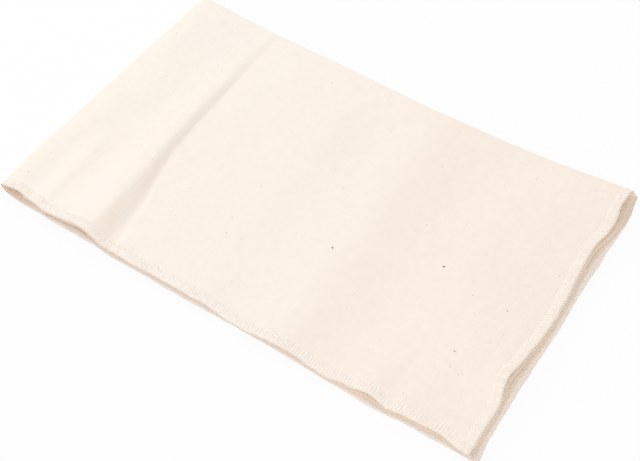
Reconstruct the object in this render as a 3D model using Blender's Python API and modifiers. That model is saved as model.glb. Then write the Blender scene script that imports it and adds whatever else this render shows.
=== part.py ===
"""A baker's couche: a natural cotton canvas cloth with overlocked edges, folded in quarters.

The cloth was folded in half along its length and then across, so four layers lie on each other.
Layers 1 (bottom) and 2 make the lower leaf, layers 3 and 4 (top) make the upper leaf, and the
upper leaf turns about the short fold on the left. Each leaf is a sheet that runs round its own
long fold at the back. Every raw edge is bound by a needle thread and two looper threads.
+X runs away from the short fold, +Y runs towards the long folds, +Z is up.
"""
import math

import bmesh
import bpy
import numpy as np
from mathutils import Vector

MM = 0.001

# Canvas
CLOTH_LENGTH = 762.0 * MM
CLOTH_WIDTH = 457.0 * MM
CLOTH_THICK = 0.6 * MM

# Overlocked edge
SEAM_WIDTH = 6.2 * MM
SEAM_MARGIN = 0.8 * MM
LOOPER_THICK = 0.2 * MM
NEEDLE_DIAMETER = 0.2 * MM
THREAD_CLEARANCE = 0.05 * MM

# Stack of four layers
LAYER_GAP = 0.2 * MM
HOLLOW_HEIGHT = 4.0 * MM
LEAF_STEP = 0.8 * MM

# Short fold on the left, which is the hinge of the upper leaf
LOOP_HALF_HEIGHT = 4.3 * MM
INNER_LOOP_SET = 2.2 * MM
LEAF_CLEARANCE = 0.3 * MM

# Beside the short fold the inner layers' raw edges draw back from the near edge
INNER_DRAW_BACK = 4.5 * MM
DRAW_BACK_START = 8.0 * MM
DRAW_BACK_REACH = 9.0 * MM

# Outline, as the folded cloth lies
TOP_STOPS_SHORT = 6.2 * MM
RIGHT_SPREAD = 12.5 * MM
NEAR_STOPS_SHORT = 6.5 * MM
NEAR_WANDER = 7.0 * MM
FAR_BOW = 7.9 * MM
NEAR_REACH = 52.0 * MM
RIGHT_REACH = 80.0 * MM

# Facets
LOOP_STEPS = 3
FOLD_STEPS = 3

# Unbleached cotton canvas, and thread a little whiter than it
CANVAS_COLOUR = (0.90, 0.83, 0.74)
THREAD_COLOUR = (0.95, 0.92, 0.87)

# Worked out from the sizes above
BAND = SEAM_WIDTH + SEAM_MARGIN
HALF_LENGTH = CLOTH_LENGTH / 2
HALF_WIDTH = CLOTH_WIDTH / 2
HALF_CLOTH = CLOTH_THICK / 2
EDGE_HALF = HALF_CLOTH + THREAD_CLEARANCE + max(LOOPER_THICK, NEEDLE_DIAMETER)
PITCH = 2 * EDGE_HALF + LAYER_GAP
HINGE_SET = EDGE_HALF + LEAF_CLEARANCE / 2
LOOPER_LEVEL = HALF_CLOTH + THREAD_CLEARANCE + LOOPER_THICK / 2
NEEDLE_LEVEL = HALF_CLOTH + THREAD_CLEARANCE + NEEDLE_DIAMETER / 2
EDGE_WALL = THREAD_CLEARANCE + LOOPER_THICK / 2
NEEDLE_LINE = SEAM_WIDTH + NEEDLE_DIAMETER

# Along the near edge, from the short fold to the raw edge: the place as a share of half the
# length, then, for the top and bottom layer, how far the edge lies out as a share of the
# wander, then how far the upper leaf still stands as high as its fold, at the near edge and
# at the far fold, then the three gaps from the bottom up as shares of the hollow height.
NEAR_EDGE_SHARES = (
    (0.011, 0.88, 0.88, 1.00, 1.00, 0.00, 0.00, 0.06),
    (0.037, 0.72, 0.89, 1.00, 1.00, 0.00, 0.00, 0.06),
    (0.079, 0.55, 0.87, 0.92, 0.78, 0.01, 0.00, 0.06),
    (0.131, 0.44, 0.89, 0.76, 0.44, 0.02, 0.00, 0.08),
    (0.178, 0.26, 0.99, 0.84, 0.22, 0.02, 0.00, 0.08),
    (0.210, 0.36, 1.00, 0.97, 0.17, 0.01, 0.00, 0.08),
    (0.241, 0.74, 0.99, 0.56, 0.04, 0.00, 0.00, 0.06),
    (0.273, 0.88, 0.97, 0.12, 0.00, 0.00, 0.02, 0.10),
    (0.320, 0.91, 0.87, 0.03, 0.00, 0.00, 0.02, 0.12),
    (0.381, 0.76, 0.56, 0.00, 0.00, 0.00, 0.01, 0.02),
    (0.459, 0.69, 0.41, 0.00, 0.00, 0.01, 0.00, 0.00),
    (0.538, 0.66, 0.59, 0.00, 0.00, 0.00, 0.01, 0.03),
    (0.609, 0.61, 0.59, 0.00, 0.00, 0.00, 0.02, 0.10),
    (0.656, 0.48, 0.61, 0.00, 0.00, 0.01, 0.04, 0.15),
    (0.703, 0.48, 0.54, 0.00, 0.00, 0.00, 0.01, 0.03),
    (0.751, 0.52, 0.49, 0.00, 0.00, 0.00, 0.02, 0.05),
    (0.793, 0.31, 0.56, 0.00, 0.00, 0.02, 0.06, 0.22),
    (0.824, 0.22, 0.58, 0.00, 0.00, 0.02, 0.10, 0.33),
    (0.856, 0.36, 0.51, 0.00, 0.00, 0.01, 0.05, 0.12),
    (0.892, 0.18, 0.43, 0.00, 0.00, 0.01, 0.07, 0.38),
    (0.929, 0.10, 0.36, 0.00, 0.00, 0.01, 0.06, 0.27),
    (0.968, 0.12, 0.29, 0.00, 0.00, 0.01, 0.04, 0.10),
)

# Along the right edge, from the near edge to the far fold: the place as a share of half the
# width, then, for the top and bottom layer, how far the edge lies out as a share of the
# spread, then the three gaps from the bottom up as shares of the hollow height.
RIGHT_EDGE_SHARES = (
    (0.031, 0.28, 1.00, 0.02, 0.04, 0.10),
    (0.100, 0.45, 0.99, 0.03, 0.14, 0.12),
    (0.200, 0.30, 0.92, 0.04, 0.30, 0.28),
    (0.300, 0.27, 0.83, 0.05, 0.40, 0.38),
    (0.430, 0.35, 0.77, 0.03, 0.18, 0.22),
    (0.580, 0.28, 0.59, 0.02, 0.03, 0.02),
    (0.730, 0.07, 0.52, 0.05, 0.28, 0.15),
    (0.860, 0.17, 0.50, 0.08, 0.58, 0.20),
    (0.950, 0.07, 0.45, 0.04, 0.77, 0.06),
    (1.000, 0.00, 0.34, 0.00, 0.84, 0.00),
)

# The far fold's bow: the place as a share of half the length, and the bow as a share.
FAR_BOW_SHARES = (
    (0.00, 0.00), (0.20, 0.38), (0.32, 0.44), (0.43, 0.63), (0.57, 0.98),
    (0.72, 1.00), (0.86, 0.95), (0.93, 0.70), (1.00, 0.46),
)

# How far the inner layers' edges lie out, between the top layer's (0) and the bottom's (1).
LAYER_PLACE_SHARES = {1: 1.0, 2: 0.72, 3: 0.30, 4: 0.0}
# From here to the far fold the two layers of a leaf come to lie edge on edge.
FOLD_MEETS_SHARE = 0.72
OUTER_LAYER = {1: 1, 2: 1, 3: 4, 4: 4}

near_table = np.array(NEAR_EDGE_SHARES)
right_table = np.array(RIGHT_EDGE_SHARES)
bow_table = np.array(FAR_BOW_SHARES)


def along_near(column, x):
    return float(np.interp(x, near_table[:, 0] * HALF_LENGTH, near_table[:, column]))


def along_right(column, y):
    return float(np.interp(y, right_table[:, 0] * HALF_WIDTH, right_table[:, column]))


def smooth(t):
    t = min(max(t, 0.0), 1.0)
    return t * t * (3 - 2 * t)


def mix(a, b, t):
    return a + (b - a) * t


def near_line(layer, x):
    """How far the raw near edge of a layer lies from the line of its innermost point."""
    share = mix(along_near(1, x), along_near(2, x), LAYER_PLACE_SHARES[layer])
    drawn = 0.0 if layer in (1, 4) else 1 - smooth((x - DRAW_BACK_START) / DRAW_BACK_REACH)
    return drawn * INNER_DRAW_BACK - share * NEAR_WANDER


def right_line(layer, y):
    """How far the raw right edge of a layer lies from the short fold."""
    at_fold = smooth((y / HALF_WIDTH - FOLD_MEETS_SHARE) / (1 - FOLD_MEETS_SHARE))
    place = mix(LAYER_PLACE_SHARES[layer], LAYER_PLACE_SHARES[OUTER_LAYER[layer]], at_fold)
    share = mix(along_right(1, y), along_right(2, y), place)
    return HALF_LENGTH - TOP_STOPS_SHORT + share * RIGHT_SPREAD


def far_line(layer, x):
    """How far the long fold of a layer's leaf lies from the line of the near edge."""
    bow = float(np.interp(x, bow_table[:, 0] * HALF_LENGTH, bow_table[:, 1])) * FAR_BOW
    step = LEAF_STEP if layer < 3 else 0.0
    return HALF_WIDTH - NEAR_STOPS_SHORT - bow - step


def heights(x, y, edge_in_x, edge_in_y):
    """The middle heights of the four layers at a place, and its distance in from both edges."""
    in_x = max(edge_in_x - BAND, 0.0)
    in_y = max(edge_in_y - BAND, 0.0)
    from_near = smooth(1 - in_y / NEAR_REACH)
    from_right = smooth(1 - in_x / RIGHT_REACH)
    bound = max(smooth(1 - in_y / (2 * BAND)), smooth(1 - in_x / (2 * BAND)))
    gaps = []
    for lower in range(3):
        near = along_near(5 + lower, x) * from_near * (1 - from_right)
        right = along_right(3 + lower, y) * from_right
        gaps.append((near + right) * HOLLOW_HEIGHT)
    first = mix(HALF_CLOTH, EDGE_HALF, bound)
    second = first + PITCH + gaps[0]
    third = second + PITCH + gaps[1]
    fourth = third + PITCH + gaps[2]
    stand = mix(along_near(4, x), along_near(3, x), (1 - smooth(in_y / HALF_WIDTH)) ** 1.4)
    third = mix(third, 2 * LOOP_HALF_HEIGHT - second, stand)
    fourth = mix(fourth, 2 * LOOP_HALF_HEIGHT - first, stand)
    return {1: first, 2: second, 3: third, 4: fourth}


def panel(layer):
    """A layer's middle surface: a grid of points, [column from the short fold][row from the near edge].

    The first columns run round the layer's half of the short fold, the last two bound the seam
    on the right, and the first two rows bound the seam on the near edge.
    """
    outer = layer in (1, 4)
    below = layer in (1, 2)
    steps = LOOP_STEPS
    columns = []
    shares = near_table[:, 0]
    across_shares = (shares - shares[0]) / (shares[-1] - shares[0])
    rows_in = right_table[1:, 0]
    for column in range(steps + len(shares) + 1):
        points = []
        for row in range(2 + len(rows_in)):
            share_in = 0.0 if row < 2 else rows_in[row - 2]
            level_y = max(share_in * HALF_WIDTH, BAND)
            set_in = 0.0 if outer else INNER_LOOP_SET
            start = heights(set_in, level_y, HALF_LENGTH, level_y)[1 if outer else 2]
            radius = LOOP_HALF_HEIGHT - start
            straight = set_in + radius
            edge = right_line(layer, level_y)
            if column < steps:
                angle = mix(math.acos(LEAF_CLEARANCE / 2 / radius), 0.0, column / steps)
                x = straight - radius * math.sin(angle)
                drop = radius * math.cos(angle)
                z = LOOP_HALF_HEIGHT - drop if below else LOOP_HALF_HEIGHT + drop
            else:
                place = column - steps
                if place < len(across_shares):
                    x = mix(straight, edge - BAND, across_shares[place])
                else:
                    x = edge
                z = heights(x, level_y, edge - x, level_y)[layer]
            near = near_line(layer, min(x, edge - BAND))
            far = far_line(layer, min(x, edge - BAND)) - PITCH / 2
            if row == 0:
                y = near
            elif row == 1:
                y = near + BAND
            else:
                y = mix(near + BAND, far, (level_y - BAND) / (HALF_WIDTH - BAND))
            points.append((x, y, z))
        columns.append(points)
    return np.array(columns)


def leaf(outer, inner):
    """Two layers joined round the far fold: one grid of points from raw edge to raw edge."""
    rows = [outer[:, row] for row in range(outer.shape[1])]
    back, front = outer[:, -1], inner[:, -1]
    middle, half = (back + front) / 2, (back - front) / 2
    for step in range(1, FOLD_STEPS):
        angle = math.pi * step / FOLD_STEPS
        out = np.zeros_like(middle)
        out[:, 1] = PITCH / 2 * math.sin(angle)
        rows.append(middle + half * math.cos(angle) + out)
    rows += [inner[:, row] for row in reversed(range(inner.shape[1]))]
    return np.stack(rows, axis=1)


def rail(edge, inside, side, from_hinge):
    """Places along a seam: raw edge points, the way into the cloth, and the mitred face normal.

    side is 1 where the grid's own normal points to the cloth's face, and -1 where it points away.
    A seam that starts at the hinge ends square to it.
    """
    way = inside - edge
    way /= np.linalg.norm(way, axis=1)[:, None]
    run = np.diff(edge, axis=0)
    normals = np.cross(run, way[1:] + way[:-1]) * side
    normals /= np.linalg.norm(normals, axis=1)[:, None]
    before = np.vstack([normals[:1], normals])
    after = np.vstack([normals, normals[-1:]])
    mitre = (before + after) / (1 + (before * after).sum(1))[:, None]
    if from_hinge:
        mitre[0] = (1 / normals[0, 0], 0, 0)
    return edge, way, mitre


def surface(name, grid):
    """An open surface of quads through a grid of points."""
    wide, deep = grid.shape[:2]
    mesh = bpy.data.meshes.new(name)
    piece = bpy.data.objects.new(name, mesh)
    bm = bmesh.new()
    points = [[bm.verts.new(tuple(p)) for p in column] for column in grid]
    for i in range(wide - 1):
        for j in range(deep - 1):
            bm.faces.new((points[i][j], points[i + 1][j], points[i + 1][j + 1], points[i][j + 1]))
    bmesh.ops.recalc_face_normals(bm, faces=bm.faces)
    bm.to_mesh(mesh)
    bm.free()
    mesh.shade_smooth()
    return piece


def thicken(piece, thick):
    solid = piece.modifiers.new("thickness", "SOLIDIFY")
    solid.thickness = thick
    solid.offset = 0.0
    solid.use_even_offset = True
    solid.use_rim = True


def thread_material(name, colour):
    material = bpy.data.materials.new(name)
    material.use_nodes = True
    shader = material.node_tree.nodes["Principled BSDF"]
    shader.inputs["Base Color"].default_value = (*colour, 1.0)
    shader.inputs["Roughness"].default_value = 0.9
    shader.inputs["Metallic"].default_value = 0.0
    return material


def finish(piece, parent, colour):
    """Puts a piece in the collection under its leaf's empty, with a material of its own."""
    collection.objects.link(piece)
    piece.parent = parent
    piece.location = -parent.location
    piece.data.materials.append(thread_material(piece.name, colour))


for old in list(bpy.data.objects):
    bpy.data.objects.remove(old, do_unlink=True)
collection = bpy.data.collections.new("bakers_couche_cloth")
bpy.context.scene.collection.children.link(collection)

lower_root = bpy.data.objects.new("lower_leaf", None)
upper_root = bpy.data.objects.new("upper_leaf_hinge", None)
upper_root.location = (-HINGE_SET, 0.0, LOOP_HALF_HEIGHT)
for empty in (lower_root, upper_root):
    collection.objects.link(empty)

LEAVES = (
    ("lower", lower_root, 1, 2, "bottom_layer", "second_layer"),
    ("upper", upper_root, 4, 3, "top_layer", "third_layer"),
)

looper_profiles = {
    "face_looper_thread": ((-EDGE_WALL - LOOPER_THICK / 2, LOOPER_LEVEL), (SEAM_WIDTH, LOOPER_LEVEL)),
    "back_looper_thread": (
        (-EDGE_WALL, HALF_CLOTH),
        (-EDGE_WALL, -LOOPER_LEVEL),
        (SEAM_WIDTH, -LOOPER_LEVEL),
    ),
}


def seam(prefix, edge, inside, parent, side, from_hinge):
    """The three threads of an overlocked edge: two loopers that wrap it and the needle's line."""
    points, way, normal = rail(edge, inside, side, from_hinge)
    for kind, profile in looper_profiles.items():
        grid = np.stack([points + way * d + normal * h for d, h in profile], axis=1)
        piece = surface(f"{prefix}_{kind}", grid)
        thicken(piece, LOOPER_THICK)
        finish(piece, parent, THREAD_COLOUR)
    curve = bpy.data.curves.new(f"{prefix}_needle_thread", "CURVE")
    curve.dimensions = "3D"
    curve.bevel_depth = NEEDLE_DIAMETER / 2
    curve.bevel_resolution = 0
    curve.use_fill_caps = True
    spline = curve.splines.new("POLY")
    stitches = points + way * NEEDLE_LINE + normal * NEEDLE_LEVEL
    spline.points.add(len(stitches) - 1)
    for knot, place in zip(spline.points, stitches, strict=True):
        knot.co = (*place, 1.0)
    piece = bpy.data.objects.new(curve.name, curve)
    finish(piece, parent, THREAD_COLOUR)


for leaf_name, root, outer_layer, inner_layer, outer_name, inner_name in LEAVES:
    outer_grid, inner_grid = panel(outer_layer), panel(inner_layer)
    whole = leaf(outer_grid, inner_grid)
    canvas = surface(f"{leaf_name}_leaf_canvas", whole)
    thicken(canvas, CLOTH_THICK)
    finish(canvas, root, CANVAS_COLOUR)
    up = 1 if leaf_name == "upper" else -1
    seam(f"{outer_name}_long_edge", outer_grid[:, 0], outer_grid[:, 1], root, up, True)
    seam(f"{inner_name}_long_edge", inner_grid[:, 0], inner_grid[:, 1], root, -up, True)
    seam(f"{leaf_name}_leaf_short_edge", whole[-1, 1:-1], whole[-2, 1:-1], root, up, False)

# The origin is under the middle of the whole folded cloth
bpy.context.view_layer.update()
depsgraph = bpy.context.evaluated_depsgraph_get()
corners = []
for piece in collection.objects:
    if piece.type != "EMPTY":
        solid = piece.evaluated_get(depsgraph)
        corners += [solid.matrix_world @ Vector(corner) for corner in solid.bound_box]
corners = np.array(corners)
middle = (corners.min(0) + corners.max(0)) / 2
for empty in (lower_root, upper_root):
    empty.location.x -= middle[0]
    empty.location.y -= middle[1]
print("hinge axis at", tuple(round(v, 6) for v in upper_root.location))
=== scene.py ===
"""A baker's couche cloth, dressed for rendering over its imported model.

The cloth is made as the real one is: the stitches are sewn on it while it is flat, and then one
function folds cloth and stitches together. Flat places are in metres: u runs along the length
from the last fold, which is u = 0, v runs across the width from one long edge, and h is the
height over the middle of the canvas, towards the side that ends up outside.
"""
import math

import bmesh
import bpy
import numpy as np
from mathutils import Matrix, Vector


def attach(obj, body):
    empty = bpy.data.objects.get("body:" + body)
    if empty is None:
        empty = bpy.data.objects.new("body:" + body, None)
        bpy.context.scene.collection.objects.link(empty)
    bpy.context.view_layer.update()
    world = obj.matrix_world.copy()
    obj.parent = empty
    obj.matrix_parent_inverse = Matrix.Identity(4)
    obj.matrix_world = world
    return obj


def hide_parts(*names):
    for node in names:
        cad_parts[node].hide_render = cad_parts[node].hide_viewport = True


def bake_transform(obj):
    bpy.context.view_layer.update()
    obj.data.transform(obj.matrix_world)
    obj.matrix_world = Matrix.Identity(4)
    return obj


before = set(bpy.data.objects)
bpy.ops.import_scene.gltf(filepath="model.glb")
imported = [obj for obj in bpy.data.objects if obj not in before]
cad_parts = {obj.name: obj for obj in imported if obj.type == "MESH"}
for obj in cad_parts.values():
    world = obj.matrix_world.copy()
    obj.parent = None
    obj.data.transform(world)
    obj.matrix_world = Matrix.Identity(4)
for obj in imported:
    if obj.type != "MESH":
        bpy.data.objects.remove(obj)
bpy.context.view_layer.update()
bpy.ops.object.select_all(action="DESELECT")

# The canvas
# One rectangle of unbleached cotton canvas in a plain weave. It was folded in half along its
# length, which made the long folds at the back, and then across, which made the short fold.
# Layers count from the bottom: the outer half of the width is layers 1 and 4, the inner 2 and 3.
CLOTH_LENGTH, CLOTH_WIDTH, CANVAS_THICK = 0.762, 0.457, 0.0006
HALF_LENGTH, HALF_WIDTH = CLOTH_LENGTH / 2, CLOTH_WIDTH / 2
SEAM_BAND = 0.007
LAYER_PITCH = 0.0013
# The bottom layer's middle over the floor, where the canvas is bare and on its seam's threads
CANVAS_REST, SEAM_REST = 0.0003, 0.0006
# The short fold's loop. The inner layers lie in it, so their near edges draw back beside it.
SHORT_FOLD_X, NEAR_LINE_Y = -0.193416, -0.108601
FOLD_HALF_HEIGHT = 0.0043
INNER_LOOP_SET = 0.0022
INNER_DRAW_BACK, DRAW_BACK_START, DRAW_BACK_REACH = 0.0068, 0.014, 0.012
# The loop's near end slants a little towards the fold
LOOP_SLANT, SLANT_REACH_X, SLANT_REACH_Y = 0.0025, 0.06, 0.03
# The flat width that each long fold takes up
FOLD_ARC = 0.003
FOLD_V = HALF_WIDTH - FOLD_ARC / 2
# The raw edges waver from stitch to stitch
EDGE_WAVER, WAVER_LENGTH = 0.00028, 0.026
# At the near right corner all the seams' threads lie over each other
CORNER_GAP, CORNER_REACH = 0.0003, 0.009
CORNER_LIFT, LIFT_REACH = 0.00045, 0.012

# Along the near edge: the place as a share of half the length, how far the top and the bottom
# layer's edge lie out as shares of NEAR_WANDER, then the gaps between the layers from the bottom
# up, as shares of HOLLOW.
near_edge_shares = np.array((
    (0.006, 0.72, 0.74, 0.00, 0.00, 0.06), (0.021, 0.71, 0.90, 0.00, 0.00, 0.06),
    (0.039, 0.54, 0.95, 0.00, 0.00, 0.06), (0.053, 0.49, 0.97, 0.00, 0.00, 0.06),
    (0.072, 0.59, 1.00, 0.01, 0.00, 0.06), (0.102, 0.70, 0.98, 0.01, 0.00, 0.06),
    (0.122, 0.93, 0.97, 0.02, 0.00, 0.08), (0.145, 0.80, 1.00, 0.02, 0.00, 0.08),
    (0.174, 0.63, 0.98, 0.02, 0.00, 0.08), (0.200, 0.49, 0.94, 0.02, 0.00, 0.08),
    (0.222, 0.52, 0.90, 0.01, 0.00, 0.08), (0.240, 0.62, 0.90, 0.00, 0.00, 0.06),
    (0.262, 0.85, 0.96, 0.00, 0.01, 0.08), (0.287, 0.85, 1.00, 0.00, 0.02, 0.10),
    (0.315, 0.81, 0.99, 0.00, 0.02, 0.12), (0.340, 0.84, 0.95, 0.00, 0.02, 0.08),
    (0.379, 0.72, 0.88, 0.00, 0.01, 0.03), (0.427, 0.62, 0.89, 0.00, 0.00, 0.02),
    (0.464, 0.63, 0.87, 0.01, 0.00, 0.00), (0.490, 0.49, 0.81, 0.01, 0.00, 0.01),
    (0.526, 0.61, 0.69, 0.00, 0.01, 0.03), (0.550, 0.74, 0.64, 0.00, 0.01, 0.03),
    (0.591, 0.72, 0.63, 0.00, 0.02, 0.06), (0.620, 0.57, 0.58, 0.00, 0.02, 0.10),
    (0.668, 0.36, 0.59, 0.01, 0.04, 0.15), (0.695, 0.42, 0.60, 0.00, 0.02, 0.06),
    (0.710, 0.54, 0.60, 0.00, 0.01, 0.03), (0.724, 0.48, 0.61, 0.00, 0.01, 0.03),
    (0.748, 0.66, 0.62, 0.00, 0.02, 0.04), (0.774, 0.28, 0.62, 0.01, 0.04, 0.12),
    (0.791, 0.32, 0.63, 0.02, 0.06, 0.20), (0.807, 0.14, 0.65, 0.02, 0.08, 0.28),
    (0.821, 0.03, 0.68, 0.02, 0.10, 0.34), (0.838, 0.14, 0.62, 0.02, 0.08, 0.26),
    (0.852, 0.36, 0.55, 0.01, 0.05, 0.10), (0.866, 0.26, 0.50, 0.01, 0.06, 0.36),
    (0.886, 0.08, 0.40, 0.01, 0.07, 0.44), (0.907, 0.00, 0.32, 0.01, 0.07, 0.40),
    (0.925, -0.08, 0.29, 0.01, 0.06, 0.28), (0.945, -0.15, 0.26, 0.01, 0.05, 0.26),
    (0.960, -0.09, 0.23, 0.01, 0.04, 0.16), (0.977, 0.16, 0.20, 0.01, 0.03, 0.08),
    (0.992, 0.26, 0.16, 0.01, 0.02, 0.04),
))
HOLLOW = 0.004
# The gaps close over NEAR_REACH from the edge
NEAR_WANDER, NEAR_REACH = 0.007, 0.052

# Along the right edge the same: the place is a share of half the width, and the edges lie out by
# shares of RIGHT_SPREAD.
right_edge_shares = np.array((
    (0.018, 0.50, 0.95, 0.02, 0.03, 0.08), (0.044, 0.50, 0.88, 0.02, 0.04, 0.10),
    (0.080, 0.46, 0.81, 0.03, 0.08, 0.12), (0.123, 0.44, 0.76, 0.03, 0.15, 0.12),
    (0.160, 0.43, 0.75, 0.04, 0.24, 0.16), (0.180, 0.38, 0.75, 0.04, 0.28, 0.26),
    (0.203, 0.23, 0.74, 0.04, 0.32, 0.42), (0.235, 0.12, 0.73, 0.05, 0.36, 0.55),
    (0.262, 0.09, 0.71, 0.05, 0.40, 0.52), (0.290, 0.20, 0.73, 0.05, 0.42, 0.42),
    (0.320, 0.26, 0.70, 0.05, 0.40, 0.34), (0.353, 0.27, 0.69, 0.05, 0.34, 0.30),
    (0.400, 0.37, 0.72, 0.03, 0.24, 0.24), (0.440, 0.39, 0.73, 0.03, 0.17, 0.18),
    (0.500, 0.35, 0.69, 0.02, 0.08, 0.10), (0.580, 0.26, 0.62, 0.02, 0.05, 0.04),
    (0.640, 0.13, 0.60, 0.03, 0.16, 0.05), (0.690, 0.05, 0.62, 0.04, 0.30, 0.08),
    (0.735, 0.01, 0.62, 0.05, 0.36, 0.10), (0.775, 0.04, 0.58, 0.05, 0.26, 0.12),
    (0.824, 0.16, 0.59, 0.05, 0.14, 0.28), (0.869, 0.22, 0.62, 0.04, 0.08, 0.52),
    (0.900, 0.14, 0.62, 0.03, 0.05, 0.70), (0.932, 0.01, 0.56, 0.02, 0.03, 0.82),
    (0.956, 0.01, 0.46, 0.01, 0.02, 0.84), (1.000, 0.00, 0.34, 0.00, 0.00, 0.84),
))
RIGHT_START, RIGHT_SPREAD, RIGHT_REACH = HALF_LENGTH - 0.0062, 0.0125, 0.08
RIGHT_EASE = 0.012
# Between the top layer's edge at 0 and the bottom one's at 1, the two inner layers lie here
SECOND_PLACE, THIRD_PLACE = 0.46, 0.24
# Towards the far end of the right edge the second layer joins the bottom one, and the third
# comes out almost as far
MEET_START, MEET_REACH, THIRD_AT_FAR_END = 0.72, 0.20, 0.80

# The far folds bow towards the middle of the cloth, by shares of FAR_BOW.
far_bow_shares = np.array((
    (0.00, 0.00), (0.20, 0.38), (0.32, 0.44), (0.43, 0.63), (0.57, 0.98),
    (0.72, 1.00), (0.86, 0.95), (0.93, 0.70), (1.00, 0.46),
))
FAR_BOW, FAR_START, FAR_EASE, LEAF_STEP = 0.0079, HALF_WIDTH - 0.0065, 0.04, 0.0008
# At the right end the upper leaf's long fold isn't pressed flat but stays a loose roll
ROLL_HEIGHT = right_edge_shares[-1, 5] * HOLLOW
CORNER_STEP, CORNER_STEP_REACH = 0.0014, 0.05

# How far the upper leaf still stands as high as the short fold, from the fold to the crease:
# at the near edge, half way across and at the far folds.
stand_shares = np.array((
    (0.011, 1.00, 1.00, 1.00), (0.037, 1.00, 1.00, 1.00), (0.079, 0.92, 0.84, 0.78),
    (0.131, 0.76, 0.60, 0.46), (0.160, 0.88, 0.62, 0.32), (0.182, 1.14, 0.72, 0.28),
    (0.198, 1.28, 0.76, 0.28), (0.230, 1.28, 0.74, 0.25),
))
STAND_EASE, STAND_BULGE = 0.012, 0.8

# The crease where the upper leaf comes down: the place across, then where its slope starts and
# where it ends in a sharp valley, in metres from the short fold, then what still stands there.
crease = np.array((
    (0.000, 0.0835, 0.1095, 0.06), (0.020, 0.0832, 0.1068, 0.08), (0.035, 0.0830, 0.1035, 0.10),
    (0.045, 0.0828, 0.1007, 0.12), (0.060, 0.0830, 0.0945, 0.14), (0.090, 0.0792, 0.0872, 0.17),
    (0.130, 0.0766, 0.0846, 0.18), (0.180, 0.0744, 0.0826, 0.16), (0.240, 0.0730, 0.0812, 0.13),
))
PAST_CREASE = 0.06
# The slope is soft at the near edge and turns into a sharp valley further in
SHARP_START, SHARP_REACH, SHARPNESS = 0.015, 0.05, 1.7

# A faint bend almost straight across the upper leaf: its place, how that leans, its slope, the
# roundness of its top, and how far it reaches to each side
BEND_X, BEND_LEAN, BEND_SLOPE, BEND_ROUND = 0.248, 0.036, 0.0320, 0.003
BEND_SIDE, BEND_FADE = 0.075, 0.05


def eased(shares, column, place, reach=0.008):
    """A column of a table of shares, read at places with its corners rounded off."""
    total = 0.0
    for step, weight in ((-1.0, 1), (-0.5, 2), (0.0, 3), (0.5, 2), (1.0, 1)):
        total = total + weight * np.interp(place + step * reach, shares[:, 0], shares[:, column])
    return total / 9


def smooth(t):
    t = np.clip(t, 0.0, 1.0)
    return t * t * (3 - 2 * t)


def wave(x, y, seed, length):
    """A soft random unevenness between -1 and 1, made of a few long waves."""
    dice = np.random.default_rng(seed)
    total = 0.0
    for _ in range(9):
        turn, phase = dice.uniform(0, 2 * math.pi, 2)
        stretch = length * dice.uniform(0.6, 1.7)
        along = x * math.cos(turn) + y * math.sin(turn)
        total = total + np.sin(along * 2 * math.pi / stretch + phase)
    return total / 5


def layer_lines(outer, lower, x, y):
    """Where a layer's near edge, right edge and far fold lie, for places on it."""
    place = np.where(outer, np.where(lower, 1.0, 0.0), np.where(lower, SECOND_PLACE, THIRD_PLACE))
    near_x = np.minimum(x, HALF_LENGTH - SEAM_BAND) / HALF_LENGTH
    top, bottom = eased(near_edge_shares, 1, near_x), eased(near_edge_shares, 2, near_x)
    drawn = np.where(outer, 0.0, 1 - smooth((x - DRAW_BACK_START) / DRAW_BACK_REACH))
    near = drawn * INNER_DRAW_BACK - (top + (bottom - top) * place) * NEAR_WANDER
    far_x = np.clip(x / HALF_LENGTH, 0, 1)
    step = LEAF_STEP - (LEAF_STEP + CORNER_STEP) * smooth((x - HALF_LENGTH) / CORNER_STEP_REACH + 1)
    far = FAR_START - eased(far_bow_shares, 1, far_x, FAR_EASE) * FAR_BOW - np.where(lower, step, 0.0)
    across = np.clip(y / HALF_WIDTH, 0, 1)
    meets = smooth((across - MEET_START) / MEET_REACH)
    at_far_end = np.where(lower, 1.0, np.where(outer, 0.0, THIRD_AT_FAR_END))
    place = place + (at_far_end - place) * meets
    top, bottom = (eased(right_edge_shares, column, across, RIGHT_EASE) for column in (1, 2))
    right = RIGHT_START + (top + (bottom - top) * place) * RIGHT_SPREAD
    roll = np.where(lower, 0.0, ROLL_HEIGHT) * smooth(1 - (HALF_LENGTH - x) / RIGHT_REACH)
    return near, right, far - (LAYER_PITCH + roll) / 2


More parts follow.
